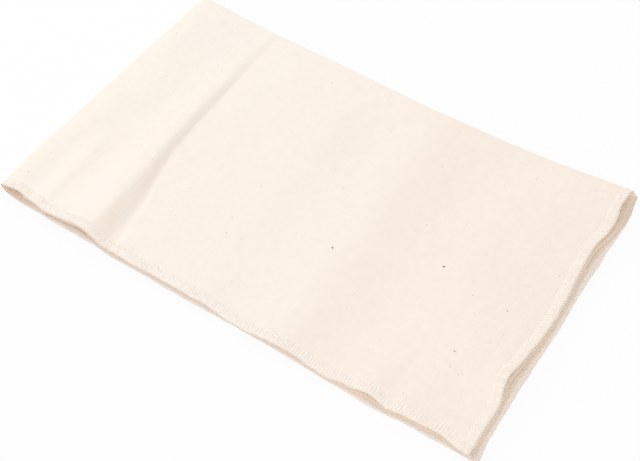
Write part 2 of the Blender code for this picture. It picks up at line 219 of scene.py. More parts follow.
def layer_heights(x, y, in_x):
    """The middle heights of the four layers, bottom first."""
    in_right, in_near = np.maximum(in_x - SEAM_BAND, 0), np.maximum(y - SEAM_BAND, 0)
    from_near = smooth(1 - in_near / NEAR_REACH)
    from_right = smooth(1 - in_right / RIGHT_REACH)
    bound = np.maximum(smooth(1 - in_near / (2 * SEAM_BAND)), smooth(1 - in_right / (2 * SEAM_BAND)))
    along, across = x / HALF_LENGTH, np.clip(y / HALF_WIDTH, 0, 1)
    gaps = []
    for gap in range(3):
        near = eased(near_edge_shares, 3 + gap, along) * from_near * (1 - from_right)
        right = eased(right_edge_shares, 3 + gap, across, RIGHT_EASE) * from_right
        corner = CORNER_GAP * np.exp(-(in_x ** 2 + y ** 2) / CORNER_REACH ** 2)
        gaps.append((near + right) * HOLLOW + corner)
    first = CANVAS_REST + (SEAM_REST - CANVAS_REST) * bound
    first = first + CORNER_LIFT * np.exp(-(in_x ** 2 + y ** 2) / LIFT_REACH ** 2)
    second = first + LAYER_PITCH + gaps[0]
    third = second + LAYER_PITCH + gaps[1]
    fourth = third + LAYER_PITCH + gaps[2]
    back = np.clip((y - SEAM_BAND) / (HALF_WIDTH - SEAM_BAND), 0, 1)
    slope_start, valley, left_over = (
        np.interp(y, crease[:, 0], crease[:, column]) for column in (1, 2, 3)
    )
    at_near, half_way, at_far = (
        eased(stand_shares, column, np.minimum(x, slope_start) / HALF_LENGTH, STAND_EASE)
        for column in (1, 2, 3)
    )
    stand = np.where(
        back < 0.5,
        at_near + (half_way - at_near) * smooth(back * 2) ** STAND_BULGE,
        half_way + (at_far - half_way) * smooth(back * 2 - 1),
    )
    left_over = left_over * smooth(1 - (x - valley) / PAST_CREASE)
    down = np.clip((x - slope_start) / (valley - slope_start), 0, 1)
    sharp = smooth((y - SHARP_START) / SHARP_REACH)
    still_up = 1 - smooth(down) + (smooth(down) - down ** SHARPNESS) * sharp
    stand = left_over + (stand - left_over) * still_up
    third = third + (2 * FOLD_HALF_HEIGHT - second - third) * stand
    fourth = fourth + (2 * FOLD_HALF_HEIGHT - first - fourth) * stand
    return first, second, third, fourth


def ridge(x, y, start, end, width, height):
    """A small soft wrinkle along a straight line between two places on the folded cloth."""
    (start_x, start_y), (end_x, end_y) = start, end
    length = math.hypot(end_x - start_x, end_y - start_y)
    way_x, way_y = (end_x - start_x) / length, (end_y - start_y) / length
    along = (x - start_x) * way_x + (y - start_y) * way_y
    off = (x - start_x) * way_y - (y - start_y) * way_x
    ends = smooth(along / width / 2) * smooth((length - along) / width / 2)
    return height * np.exp(-((off / width) ** 2)) * ends


# The upper leaf lies loose on the lower one, and its under layer follows the top one less. All of
# this fades out towards the loop over FROM_LOOP, and towards the other edges over FROM_EDGES.
LOOSE_LIFT, UNDER_FOLLOWS, FROM_LOOP, FROM_EDGES = 0.0003, 0.8, 0.02, 0.03
# The height, random seed and length of its soft waves
loose_waves = ((0.00028, 3, 0.11), (0.00012, 4, 0.035))
# A low lip past the crease's valley, which ends half way across
LIP_HEIGHT, LIP_PAST, LIP_WIDTH, LIP_END, LIP_FADE = 0.00022, 0.0045, 0.0032, 0.12, 0.09
# A shallow hollow at the loop's near end: its depth, place and reach
DIP, DIP_X, DIP_Y, DIP_REACH_X, DIP_REACH_Y = -0.0009, 0.025, 0.008, 0.011, 0.035
# The start, end, width and height of the wrinkles: one beside the loop's near end, then a ridge
# beyond the crease and the furrow beside it
wrinkles = (
    ((0.040, -0.010), (0.038, 0.075), 0.0060, 0.00070),
    ((0.100, -0.004), (0.156, 0.050), 0.0065, 0.00026),
    ((0.112, -0.004), (0.150, 0.036), 0.0050, -0.00020),
)


def top_relief(x, y, in_x):
    """The slight unevenness of the two upper layers, away from their folds and edges."""
    inside = smooth(x / FROM_LOOP) * smooth((FAR_START - y) / FROM_EDGES)
    inside = inside * smooth(in_x / FROM_EDGES)
    loose = sum(height * wave(x, y, seed, length) for height, seed, length in loose_waves)
    bend_x = BEND_X - BEND_LEAN * y
    bend = -BEND_SLOPE * np.sqrt((x - bend_x) ** 2 + BEND_ROUND ** 2)
    bend = bend * smooth((bend_x + BEND_SIDE - x) / BEND_FADE)
    bend = bend * smooth((x - bend_x + BEND_SIDE) / BEND_FADE)
    past_valley = x - np.interp(y, crease[:, 0], crease[:, 2])
    lip = LIP_HEIGHT * np.exp(-(((past_valley - LIP_PAST) / LIP_WIDTH) ** 2))
    lip = lip * smooth((LIP_END - y) / LIP_FADE)
    dip = DIP * np.exp(-(((x - DIP_X) / DIP_REACH_X) ** 2) - ((y - DIP_Y) / DIP_REACH_Y) ** 2)
    wrinkled = sum(ridge(x, y, *wrinkle) for wrinkle in wrinkles)
    return (loose + bend + LOOSE_LIFT + dip + lip + wrinkled) * inside


def fold(u, v, h=None):
    """Folds flat places into the shape that the cloth lies in."""
    u, v = np.asarray(u, float), np.asarray(v, float)
    if h is not None:
        nearby = 0.0002
        here = fold(u, v)
        along = fold(u + nearby, v) - fold(u - nearby, v)
        across = fold(u, v + nearby) - fold(u, v - nearby)
        out = np.cross(along, across)
        out /= np.linalg.norm(out, axis=-1, keepdims=True)
        return here + out * np.asarray(h, float)[..., None]
    lower, outer = u < 0, v < CLOTH_WIDTH / 2
    turn = np.clip((v - FOLD_V) / FOLD_ARC, 0, 1)
    # Within a long fold, a place goes round from the outer half to the inner one
    if np.any((turn > 0) & (turn < 1)):
        back = fold(u, np.minimum(v, FOLD_V))
        front = fold(u, np.maximum(v, FOLD_V + FOLD_ARC))
        middle, half = (back + front) / 2, (back - front) / 2
        angle = turn[..., None] * math.pi
        reach = np.zeros_like(middle)
        reach[..., 1:2] = np.linalg.norm(half, axis=-1, keepdims=True) * np.sin(angle)
        round_fold = middle + half * np.cos(angle) + reach
        flat_part = np.where(angle < 1, back, front)
        return np.where((angle > 0) & (angle < math.pi), round_fold, flat_part)
    # Along the length: the arc of the loop, then the leaf, then the bound edge at its full width
    from_hinge = np.abs(u)
    from_edge = np.where(outer, v, CLOTH_WIDTH - v)
    y_in = np.clip(from_edge, 0, HALF_WIDTH) * HALF_WIDTH / FOLD_V
    set_in = np.where(outer, 0.0, INNER_LOOP_SET)
    inner_start = layer_heights(set_in, y_in, np.full_like(u, HALF_LENGTH))
    radius = FOLD_HALF_HEIGHT - np.where(outer, inner_start[0], inner_start[1])
    arc = radius * math.pi / 2
    straight = set_in + radius
    right = layer_lines(outer, lower, HALF_LENGTH, y_in)[1]
    right = right + EDGE_WAVER * wave(v, np.where(lower, 0.0, 0.5), 8, WAVER_LENGTH)
    along = (from_hinge - arc) / (HALF_LENGTH - SEAM_BAND - arc)
    x = np.where(
        from_hinge < HALF_LENGTH - SEAM_BAND,
        straight + (right - SEAM_BAND - straight) * along,
        right - (HALF_LENGTH - from_hinge),
    )
    heights = layer_heights(x, y_in, right - x)
    lift = top_relief(x, y_in, right - x)
    third, fourth = heights[2] + lift * UNDER_FOLLOWS, heights[3] + lift
    z = np.where(lower, np.where(outer, heights[0], heights[1]), np.where(outer, fourth, third))
    round_loop = np.clip(1 - from_hinge / arc, 0, 1) * math.pi / 2
    on_arc = from_hinge < arc
    x = np.where(on_arc, straight - radius * np.sin(round_loop), x)
    arc_z = FOLD_HALF_HEIGHT + radius * np.cos(round_loop) * np.where(lower, -1, 1)
    z = np.where(on_arc, arc_z, z)
    x = x + LOOP_SLANT * (1 - smooth(y_in / SLANT_REACH_Y)) * (1 - smooth(x / SLANT_REACH_X))
    # Across the width: the bound edge at its full width, then the rest up to the long fold
    near, _, far = layer_lines(outer, lower, x, y_in)
    near = near + EDGE_WAVER * wave(u, np.where(outer, 0.0, 0.5), 7, WAVER_LENGTH)
    inward = (from_edge - SEAM_BAND) / (FOLD_V - SEAM_BAND)
    beyond_band = near + SEAM_BAND + (far - near - SEAM_BAND) * inward
    y = np.where(from_edge < SEAM_BAND, near + from_edge, beyond_band)
    return np.stack([x + SHORT_FOLD_X, y + NEAR_LINE_Y, z], axis=-1)


def steps(*stretches):
    """Places along a line, from stretches of (end, length of a step)."""
    places = [0.0]
    for end, step in stretches:
        count = max(1, round((end - places[-1]) / step))
        places += list(np.linspace(places[-1], end, count + 1)[1:])
    return np.array(places)


def set_flat(piece):
    """Keeps the flat places in metres as the piece's UV map, so that the weave follows the cloth."""
    mesh = piece.data
    places = np.empty(len(mesh.vertices) * 3, np.float32)
    mesh.vertices.foreach_get("co", places)
    corners = np.empty(len(mesh.loops), np.int32)
    mesh.loops.foreach_get("vertex_index", corners)
    layer = mesh.uv_layers.active or mesh.uv_layers.new()
    layer.name = "flat"
    layer.data.foreach_set("uv", places.reshape(-1, 3)[corners, :2].ravel())


def fold_piece(piece):
    """Moves a piece from its flat places to the folded ones."""
    mesh = piece.data
    flat = np.empty(len(mesh.vertices) * 3, np.float32)
    mesh.vertices.foreach_get("co", flat)
    flat = flat.reshape(-1, 3).astype(float)
    folded = fold(flat[:, 0], flat[:, 1], flat[:, 2])
    mesh.vertices.foreach_set("co", folded.astype(np.float32).ravel())
    mesh.update()


# The grid is finest in the loop and in the long folds, then along the crease and the raw edges.
# Each stretch of it: where that ends, and the length of its steps.
along_stretches = (
    (0.0062, 0.0008), (0.03, 0.0022), (0.074, 0.0036), (0.120, 0.00135), (0.155, 0.003),
    (0.34, 0.0045), (HALF_LENGTH - SEAM_BAND, 0.0026), (HALF_LENGTH, 0.0014),
)
across_stretches = ((SEAM_BAND, 0.0014), (0.05, 0.0022), (0.2, 0.0044), (FOLD_V, 0.003))
FOLD_STEPS = 8
half_u, half_v = steps(*along_stretches), steps(*across_stretches)
arc_v = FOLD_V + FOLD_ARC * np.arange(1, FOLD_STEPS) / FOLD_STEPS
canvas_u = np.concatenate([-half_u[:0:-1], half_u])
canvas_v = np.concatenate([half_v, arc_v, CLOTH_WIDTH - half_v[::-1]])
columns, rows = len(canvas_u) - 1, len(canvas_v) - 1
bpy.ops.mesh.primitive_grid_add(x_subdivisions=columns, y_subdivisions=rows, size=1)
canvas = bpy.context.active_object
canvas.name = "canvas_sheet"
grid_v, grid_u = np.meshgrid(canvas_v, canvas_u, indexing="ij")
flat = np.stack([grid_u.ravel(), grid_v.ravel(), np.zeros(grid_u.size)], axis=1)
canvas.data.vertices.foreach_set("co", flat.astype(np.float32).ravel())
set_flat(canvas)

thickness = canvas.modifiers.new("thickness", "SOLIDIFY")
thickness.thickness = CANVAS_THICK
thickness.offset = 0.0
bpy.ops.object.modifier_apply(modifier="thickness")
# The inside of the short fold's loop, which never sees the light, gets painted shade: its canvas is
# made darker and warmer
LOOP_INSIDE, LOOP_FADE = 0.050, 0.035
flat = np.empty(len(canvas.data.vertices) * 3, np.float32)
canvas.data.vertices.foreach_get("co", flat)
u, v, h = flat.reshape(-1, 3).T
inside = np.where((h < 0) & (v < FOLD_V), smooth((LOOP_INSIDE - np.abs(u)) / LOOP_FADE), 0.0)
loop_shade_marks = canvas.data.attributes.new("loop_painted_shade", "FLOAT", "POINT")
loop_shade_marks.data.foreach_set("value", inside.astype(np.float32))
# The fold turns over this much of the flat length on each side of its line
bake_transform(canvas)
fold_piece(canvas)
canvas.data.shade_smooth()


def put(tree, kind, *inputs, **settings):
    """Adds a shader node, and sets or links its inputs in their order."""
    made = tree.nodes.new("ShaderNode" + kind)
    for setting, value in settings.items():
        setattr(made, setting, value)
    for socket, value in zip(made.inputs, inputs, strict=False):
        if isinstance(value, bpy.types.NodeSocket):
            tree.links.new(value, socket)
        elif value is not None:
            socket.default_value = value
    return made.outputs[0]


def calc(tree, operation, *inputs, clamp=False):
    """One step of arithmetic in a node tree."""
    return put(tree, "Math", *inputs, operation=operation, use_clamp=clamp)


def add_up(tree, first, *others):
    for other in others:
        first = calc(tree, "ADD", first, other)
    return first


def times(tree, a, b):
    return calc(tree, "MULTIPLY", a, b)


def scaled(tree, value, factor, start, clamp=False):
    """A value times a factor, counted on from a start."""
    return calc(tree, "MULTIPLY_ADD", value, factor, start, clamp=clamp)


def split_place(tree, place):
    """How far along and across the flat cloth a place lies."""
    split = tree.nodes.new("ShaderNodeSeparateXYZ")
    tree.links.new(place, split.inputs[0])
    return split.outputs[0], split.outputs[1]


def noise(tree, place, stretch, detail=2.0):
    """Random unevenness from 0 to 1; stretch is how often it changes in each metre, both ways."""
    stretched = put(tree, "VectorMath", place, (*stretch, 1.0), operation="MULTIPLY")
    return put(tree, "TexNoise", stretched, None, 1.0, detail, 0.55, noise_dimensions="2D")


def edge_distance(tree, along, across, half_length, width):
    """How far in a flat place is from the nearest raw edge."""
    from_short = calc(tree, "SUBTRACT", half_length, calc(tree, "ABSOLUTE", along))
    from_long = calc(tree, "MINIMUM", across, calc(tree, "SUBTRACT", width, across))
    return calc(tree, "MINIMUM", from_long, from_short)


# What each part adds to the canvas's height, in millimetres, and to its tone
WEAVE_HEIGHT, SLUB_HEIGHT, COCKLE_HEIGHT, SEAM_DENT = 0.07, 0.04, 0.16, -0.06
WEAVE_TONE, SLUB_TONE, BLOTCH_TONE, SEAM_TONE = 0.085, 0.07, 0.06, 0.02
# The yarns wander by this share of their pitch, and sink to UNDER where they pass below
YARN_WANDER, UNDER, OVER_UNDER = 0.9, 0.62, 0.38
DENT_HALF_WIDTH = 0.0008
# What adds to the warmth: slow clouds at random, then painted shade, darker and warmer, the way
# out to the short edges, the part past the faint bend, which begins at a line a little short of it,
# and the crease
CLOUD_WARMTH, OUTWARD_PAINTED_SHADE, PAST_BEND_PAINTED_SHADE, CREASE_PAINTED_SHADE = 0.4, 0.45, 0.5, 1.4
PAST_BEND_START, PAST_BEND_REACH = 0.236, 0.022
# The crease's painted shade lies on its slope, CREASE_IN out from the short fold, and further out
# and wider towards the outer raw edge, where it is plainest
CREASE_FADE, CREASE_IN, CREASE_OUT = -10.0, 0.0800, 0.0205
CREASE_HALF, CREASE_WIDER = 0.0010, 0.0125
# In the inner half, the bound band beside a raw edge gets painted shade, darker and warmer, and its
# rim painted light, paler. Each fades over a width, and ends at so many of its widths from the edge.
BAND_FADE, BAND_END, BAND_PAINTED_SHADE = 0.003, 3.4, 2.2
RIM_FADE, RIM_END, RIM_PAINTED_LIGHT = 0.0009, 1.9, -1.0


def plain_weave():
    """One over, one under: the height of the yarns, their tone, and the seam's dented line."""
    group = bpy.data.node_groups.new("plain_weave", "ShaderNodeTree")
    sides = group.interface
    sides.new_socket(name="flat place", in_out="INPUT", socket_type="NodeSocketVector")
    for name in ("warp pitch", "weft pitch", "half length", "width", "needle line"):
        sides.new_socket(name=name, in_out="INPUT", socket_type="NodeSocketFloat")
    for name in ("height", "tone", "warmth", "edge shade"):
        sides.new_socket(name=name, in_out="OUTPUT", socket_type="NodeSocketFloat")
    given = group.nodes.new("NodeGroupInput")
    place, warp_pitch, weft_pitch, half_length, width, needle_line = given.outputs[:6]
    along, across = split_place(group, place)
    warps = add_up(group, calc(group, "DIVIDE", across, warp_pitch),
                   times(group, noise(group, place, (70, 90)), YARN_WANDER))
    wefts = add_up(group, calc(group, "DIVIDE", along, weft_pitch),
                   times(group, noise(group, place, (80, 60)), YARN_WANDER))
    yarns = []
    for here, there, shift in ((warps, wefts, -0.5), (wefts, warps, 0.5)):
        number = calc(group, "FLOOR", here)
        rounded = calc(group, "ABSOLUTE", calc(group, "SINE", times(group, here, math.pi)))
        crossing = calc(group, "COSINE", times(group, add_up(group, there, number, shift), math.pi))
        yarns.append(times(group, rounded, scaled(group, crossing, OVER_UNDER, UNDER)))
    weave = calc(group, "MAXIMUM", *yarns)
    warp_slub = noise(group, place, (38, 1500), 1.5)
    weft_slub = noise(group, place, (1200, 44), 1.5)
    slub = times(group, add_up(group, warp_slub, weft_slub), 0.5)
    from_edge = edge_distance(group, along, across, half_length, width)
    off_line = calc(group, "SUBTRACT", from_edge, needle_line)
    off_line = calc(group, "POWER", calc(group, "DIVIDE", off_line, DENT_HALF_WIDTH), 2.0)
    dent = calc(group, "SUBTRACT", 1.0, off_line, clamp=True)
    seam = calc(group, "LESS_THAN", from_edge, needle_line)
    cockle = noise(group, place, (110, 120), 3.0)
    height = add_up(group, times(group, weave, WEAVE_HEIGHT), times(group, slub, SLUB_HEIGHT),
                    times(group, cockle, COCKLE_HEIGHT), times(group, dent, SEAM_DENT))
    blotch = noise(group, place, (150, 170), 4.0)
    tone = add_up(group, times(group, weave, WEAVE_TONE), times(group, slub, SLUB_TONE),
                  times(group, blotch, BLOTCH_TONE), times(group, seam, SEAM_TONE))
    cloud = noise(group, place, (3.4, 4.1), 1.0)
    out = calc(group, "ABSOLUTE", along)
    outward_shade = calc(group, "DIVIDE", out, half_length)
    past_bend_shade = add_up(group, out, times(group, across, BEND_LEAN), -PAST_BEND_START)
    past_bend_shade = calc(group, "DIVIDE", past_bend_shade, PAST_BEND_REACH, clamp=True)
    # Painted shade on the crease's slope
    fade = calc(group, "EXPONENT", times(group, across, CREASE_FADE))
    off_crease = calc(group, "SUBTRACT", along, scaled(group, fade, CREASE_OUT, CREASE_IN))
    off_crease = calc(group, "DIVIDE", off_crease, scaled(group, fade, CREASE_WIDER, CREASE_HALF))
    crease_shade = calc(group, "SUBTRACT", 1.0, times(group, off_crease, off_crease), clamp=True)
    crease_shade = times(group, crease_shade, fade)
    # Painted shade: out towards the short edges, past the bend and on the crease
    warmth = add_up(group, times(group, cloud, CLOUD_WARMTH), times(group, outward_shade, OUTWARD_PAINTED_SHADE),
                    times(group, past_bend_shade, PAST_BEND_PAINTED_SHADE), times(group, crease_shade, CREASE_PAINTED_SHADE))
    # Painted light on the rim, painted shade on the band beside it
    rim = scaled(group, from_edge, -1 / RIM_FADE, RIM_END, clamp=True)
    band = scaled(group, from_edge, -1 / BAND_FADE, BAND_END, clamp=True)
    edge_shade = add_up(group, times(group, band, BAND_PAINTED_SHADE), times(group, rim, RIM_PAINTED_LIGHT))
    given_back = group.nodes.new("NodeGroupOutput")
    for socket, value in zip(given_back.inputs, (height, tone, warmth, edge_shade), strict=False):
        group.links.new(value, socket)
    return group


def flat_place(tree):
    """The piece's own UV map, which holds its place on the flat cloth in metres."""
    made = tree.nodes.new("ShaderNodeUVMap")
    made.uv_map = "flat"
    return made.outputs[0]


# What one step of warmth takes from red, green and blue
WARMTH_SHARES = (0.016, 0.053, 0.080)


def inner_half(tree, across):
    """1 in the half of the width that lies inside, and 0 in the outer half."""
    return calc(tree, "GREATER_THAN", across, CLOTH_WIDTH / 2)


def tinted(tree, place, colour, tone, lowest, warmth, painted_shade_warmth):
    """The colour times lowest + tone. Warmth turns it to brown, and so does the painted shade given
    for the inner half.
    """
    level = calc(tree, "ADD", tone, lowest)
    # Painted shade, darker and warmer, only in the inner half
    inner_painted_warmth = times(tree, inner_half(tree, split_place(tree, place)[1]), painted_shade_warmth)
    warmth = add_up(tree, inner_painted_warmth, warmth)
    warm = put(tree, "CombineXYZ", *(
        scaled(tree, warmth, -share, 1 + share / 2) for share in WARMTH_SHARES))
    level = put(tree, "VectorMath", warm, level, operation="MULTIPLY")
    return put(tree, "VectorMath", level, colour, operation="MULTIPLY")


def cloth_shader(name, roughness, sheen):
    material = bpy.data.materials.new(name)
    material.use_nodes = True
    shader = material.node_tree.nodes["Principled BSDF"]
    shader.inputs["Roughness"].default_value = roughness
    shader.inputs["Specular IOR Level"].default_value = 0.2
    shader.inputs["Sheen Weight"].default_value = sheen
    shader.inputs["Sheen Roughness"].default_value = 0.6
    return material, material.node_tree, shader


def raise_up(tree, shader, height):
    """Feeds a height in millimetres to the shader's normal."""
    bump = tree.nodes.new("ShaderNodeBump")
    bump.inputs["Distance"].default_value = 0.001
    tree.links.new(height, bump.inputs["Height"])
    tree.links.new(bump.outputs[0], shader.inputs["Normal"])


# 12 ounce canvas: doubled warp yarns closer than the weft
WARP_PITCH, WEFT_PITCH = 0.00062, 0.00078
NEEDLE_IN = 0.0063
CANVAS_COLOUR, CANVAS_LOWEST = (0.95, 0.862, 0.778), 0.905
# Painted shade: how much darker and warmer the inner half is, which lies in the folds, and the loop's
# inside
INNER_PAINTED_SHADE, LOOP_PAINTED_SHADE = 1.3, 5.5

canvas_material, tree, shader = cloth_shader("unbleached_canvas", 0.92, 0.08)
weave = tree.nodes.new("ShaderNodeGroup")
weave.node_tree = plain_weave()
place = flat_place(tree)
tree.links.new(place, weave.inputs[0])
weave_sizes = (WARP_PITCH, WEFT_PITCH, HALF_LENGTH, CLOTH_WIDTH, NEEDLE_IN)
for socket, value in zip(weave.inputs[1:], weave_sizes, strict=True):
    socket.default_value = value
height, tone, warmth, edge_shade = weave.outputs
# The inner half's painted shade, with the painted shade of its bands and the painted light of its
# rims
painted_shade_warmth = calc(tree, "ADD", edge_shade, INNER_PAINTED_SHADE)
# Painted shade: the inside of the loop is made darker and warmer
loop_shade_mark = tree.nodes.new("ShaderNodeAttribute")
loop_shade_mark.attribute_name = "loop_painted_shade"
warmth = add_up(tree, warmth, times(tree, loop_shade_mark.outputs["Fac"], LOOP_PAINTED_SHADE))
colour = tinted(tree, place, CANVAS_COLOUR, tone, CANVAS_LOWEST, warmth, painted_shade_warmth)
tree.links.new(colour, shader.inputs["Base Color"])
raise_up(tree, shader, height)
canvas.data.materials.clear()
canvas.data.materials.append(canvas_material)
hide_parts("lower_leaf_canvas", "upper_leaf_canvas")

# The overlocked edges
# Every raw edge is bound by three off-white spun threads: the needle's line of stitches, a
# looper thread that lies over the face in a zigzag, and one that does the same on the back.
STITCH = 0.0021
OVER = CANVAS_THICK / 2
LOOPER_DIAMETER, NEEDLE_DIAMETER = 0.00040, 0.00032
STITCH_LEAN = 0.16
# How unevenly it is sewn: along the seam and its lean in stitches, its width as a share, height
ALONG_UNEVEN, LEAN_UNEVEN, WIDTH_UNEVEN, HEIGHT_UNEVEN = 0.04, 0.03, 0.02, 0.00002
# The threads run a little past the canvas at a seam's ends
OVERRUN = 0.0008
# The short edges were sewn last, over the ends of the long edges' seams
CROSSING_LIFT, CROSSING_SLOPE = 0.00020, 0.001

# One stitch of each thread: along the seam in stitches, then in from the raw edge and height.
# Two strands of a looper lie close together, from the needle's line out round the raw edge.
face_stitch = (
    (0.37, NEEDLE_IN + 0.0002, OVER - 0.00010), (0.38, 0.0058, OVER),
    (0.38, 0.0042, OVER + 0.00003), (0.375, 0.0024, OVER + 0.00003), (0.37, 0.0007, OVER),
    (0.38, -0.00005, OVER - 0.00010), (0.43, -0.00025, 0.00008), (0.55, -0.00025, 0.00008),
    (0.60, -0.00005, OVER - 0.00010), (0.62, 0.0007, OVER), (0.615, 0.0024, OVER + 0.00003),
    (0.61, 0.0042, OVER + 0.00003), (0.60, 0.0058, OVER),
    (0.62, NEEDLE_IN + 0.0002, OVER - 0.00010),
)
back_stitch = tuple((along + 0.5, inward, -height) for along, inward, height in face_stitch)
needle_stitch = (
    (0.00, NEEDLE_IN, -0.0003), (0.03, NEEDLE_IN, OVER - 0.00012), (0.25, NEEDLE_IN, OVER - 0.00004),
    (0.55, NEEDLE_IN, OVER - 0.00002), (0.85, NEEDLE_IN, OVER - 0.00005), (0.96, NEEDLE_IN, 0.0),
    (0.975, NEEDLE_IN + 0.0001, -0.00040),
)


def thread_run(name, stitch, length, place, diameter, seed, nodes, crosses):
    """Sews one thread along a flat edge, sets how it turns, and folds it with the cloth."""
    dice = np.random.default_rng(seed)
    count = round(length / STITCH)
    pitch = length / count
    start = pitch * (np.arange(count) + dice.uniform(-ALONG_UNEVEN, ALONG_UNEVEN, count))
    one = np.array(stitch)
    lean = STITCH_LEAN + dice.normal(0, LEAN_UNEVEN, (count, 1))
    lean = lean * (one[:, 1] - NEEDLE_IN) / NEEDLE_IN
    along = (start[:, None] + pitch * (one[None, :, 0] + lean)).ravel()
    wider = 1 + dice.normal(0, WIDTH_UNEVEN, (count, 1))
    inward = (one[None, :, 1] * wider).ravel()
    height = np.broadcast_to(one[None, :, 2], (count, len(one))).ravel()
    height = height + np.sign(height) * np.abs(dice.normal(0, HEIGHT_UNEVEN, height.size))
    at_end = smooth((NEEDLE_IN - np.minimum(along, length - along)) / CROSSING_SLOPE)
    height = height + np.sign(height) * (CROSSING_LIFT if crosses else -CROSSING_LIFT / 2) * at_end
    keep = (along > -OVERRUN) & (along < length + OVERRUN)
    points = place(along[keep], inward[keep])
    curve = bpy.data.curves.new(name, "CURVE")
    curve.dimensions = "3D"
    curve.bevel_depth = diameter / 2
    curve.bevel_resolution = 1
    curve.use_fill_caps = True
    spline = curve.splines.new("POLY")
    spline.points.add(len(points[0]) - 1)
    knots = np.stack([points[0], points[1], height[keep], np.ones(keep.sum())], axis=1)
    spline.points.foreach_set("co", knots.astype(np.float32).ravel())
    run = bpy.data.objects.new(name, curve)
    bpy.context.scene.collection.objects.link(run)
    bpy.ops.object.select_all(action="DESELECT")
    run.select_set(True)
    bpy.context.view_layer.objects.active = run
    bpy.ops.object.convert(target="MESH")
    set_flat(run)
    if len(nodes) > 1:
        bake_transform(run)
    else:
        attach(run, "lower_leaf" if nodes[0].startswith("lower") else "upper_leaf")
    fold_piece(run)
    run.data.shade_smooth()
    run.data.materials.append(thread)
    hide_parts(*nodes)


# Spun thread of two plies. Twist and fuzz give it its tone, and its height in millimetres.
THREAD_COLOUR, THREAD_LOWEST, THREAD_TWIST = (0.978, 0.914, 0.844), 0.965, 0.00042
PLY_TONE, FUZZ_TONE, MOTTLE_TONE = 0.04, 0.03, 0.04
PLY_HEIGHT, FUZZ_HEIGHT = 0.022, 0.02
# In the inner half it gets painted shade, a little darker and warmer, and most so in from the rim
INNER_THREAD_PAINTED_SHADE, THREAD_RIM_PAINTED_SHADE, THREAD_INWARD_PAINTED_SHADE = -0.09, 1.2, 0.7
thread, tree, shader = cloth_shader("overlock_thread", 0.85, 0.1)
place = flat_place(tree)
along, across = split_place(tree, place)
turn = times(tree, add_up(tree, along, across), 2 * math.pi / THREAD_TWIST)
ply = scaled(tree, calc(tree, "SINE", turn), 0.5, 0.5)
fuzz = noise(tree, place, (7000, 7000), 3.0)
mottle = noise(tree, place, (420, 420), 1.0)
tone = add_up(tree, times(tree, ply, PLY_TONE), times(tree, fuzz, FUZZ_TONE),
              times(tree, mottle, MOTTLE_TONE))
# Painted shade on the inner half's thread, darker, and warmer in from its rim
tone = scaled(tree, inner_half(tree, across), INNER_THREAD_PAINTED_SHADE, tone)
from_edge = edge_distance(tree, along, across, HALF_LENGTH, CLOTH_WIDTH)
in_from_rim = scaled(tree, from_edge, 1 / RIM_FADE, 1 - RIM_END, clamp=True)
painted_shade_warmth = scaled(tree, in_from_rim, THREAD_INWARD_PAINTED_SHADE, THREAD_RIM_PAINTED_SHADE)
colour = tinted(tree, place, THREAD_COLOUR, tone, THREAD_LOWEST, mottle, painted_shade_warmth)
tree.links.new(colour, shader.inputs["Base Color"])
height = add_up(tree, times(tree, ply, PLY_HEIGHT), times(tree, fuzz, FUZZ_HEIGHT))
raise_up(tree, shader, height)
# Each seam: its length, where it lies from the way along it and in from its edge, its CAD names
seams = (
    ("outer_long_edge", CLOTH_LENGTH, lambda s, d: (s - HALF_LENGTH, d),
     ("bottom_layer_long_edge", "top_layer_long_edge")),
    ("inner_long_edge", CLOTH_LENGTH, lambda s, d: (s - HALF_LENGTH, CLOTH_WIDTH - d),
     ("second_layer_long_edge", "third_layer_long_edge")),
    ("lower_leaf_short_edge", CLOTH_WIDTH, lambda s, d: (d - HALF_LENGTH, s),
     ("lower_leaf_short_edge",)),
    ("upper_leaf_short_edge", CLOTH_WIDTH, lambda s, d: (HALF_LENGTH - d, s),
     ("upper_leaf_short_edge",)),
)
threads = (
    ("face_looper_thread", face_stitch, LOOPER_DIAMETER),
    ("back_looper_thread", back_stitch, LOOPER_DIAMETER),
    ("needle_thread", needle_stitch, NEEDLE_DIAMETER),
)
seed = 20
for seam_name, length, place, cad_seams in seams:
    for kind, stitch, diameter in threads:
        seed += 1
        nodes = tuple(f"{cad_seam}_{kind}" for cad_seam in cad_seams)
        name = f"{seam_name}_{kind}" if len(nodes) > 1 else f"{seam_name}_sewn_{kind}"
        thread_run(name, stitch, length, place, diameter, seed, nodes, len(nodes) == 1)

# The seed flecks
# Unbleached cotton keeps bits of seed husk, spun into its yarns and woven in. Each is a flat
# brown fleck half sunk in one face of the canvas. The larger ones on top are the photograph's.
HUSK_LENGTH, HUSK_HALF_HEIGHT, HUSK_COUNT, EDGE_FREE = 0.00085, 0.00010, 420, 0.0085
# How long the random ones are, how broad for their length, and how dark, from least to most
SMALL_SIZES, BREADTHS, SMALL_DARKNESS = (0.5, 1.2), (0.4, 0.85), (0, 0.4)
# The larger the seen ones are, the darker
DARKER_BY_SIZE, DARKNESS_START = 0.62, -0.37
